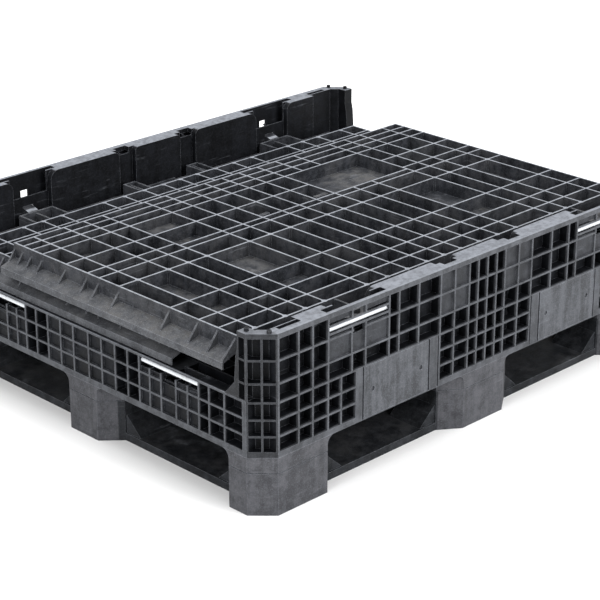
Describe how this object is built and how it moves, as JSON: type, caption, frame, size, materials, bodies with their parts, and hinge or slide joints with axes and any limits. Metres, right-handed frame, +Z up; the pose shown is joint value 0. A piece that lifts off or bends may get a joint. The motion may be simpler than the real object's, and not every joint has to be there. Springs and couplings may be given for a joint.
{
  "type": "collapsible pallet box",
  "caption": "Ribbed plastic bulk container folded flat: hinged walls lie stacked on a four-way pallet base with hollow feet, a skid frame and corner posts",
  "frame": {"origin": "centre of the footprint on the floor under the middle foot", "axes": "+X along the long side, +Y along the short side from the front wall's hinge to the rear, +Z up"},
  "size_m": [1.219, 1.016, 0.366],
  "materials": {
    "base_plastic": "moulded, scuffed, light edges",
    "wall_plastic": "moulded, light rib edges",
    "plate_plastic": "smooth, scuffed",
    "rod": "white coated bar"
  },
  "bodies": {
    "base": {"deck": "base_plastic", "side_front": "base_plastic", "side_rear": "base_plastic", "side_left": "base_plastic", "side_right": "base_plastic", "corner_post_front_left": "base_plastic", "corner_post_front_right": "base_plastic", "corner_post_rear_left": "base_plastic", "corner_post_rear_right": "base_plastic", "skid_frame": "base_plastic", "wall_rear": "wall_plastic", "wall_left": "wall_plastic", "wall_right": "wall_plastic", "hinge_rod_front_left": "rod", "hinge_rod_front_right": "rod", "hinge_rod_rear_left": "rod", "hinge_rod_rear_right": "rod", "hinge_rod_left_near": "rod", "hinge_rod_left_far": "rod", "hinge_rod_right_near": "rod", "hinge_rod_right_far": "rod", "label_plate_front_left": "plate_plastic", "label_plate_front_right": "plate_plastic", "label_plate_rear_left": "plate_plastic", "label_plate_rear_right": "plate_plastic"},
    "front_wall": {"wall_front": "wall_plastic"}
  },
  "joints": [
    {"name": "front_wall_fold", "type": "hinge", "parent": "base", "child": "front_wall", "pos_m": [0, -0.499, 0.324], "axis": [1, 0, 0], "range_deg": [0, 90]}
  ]
}
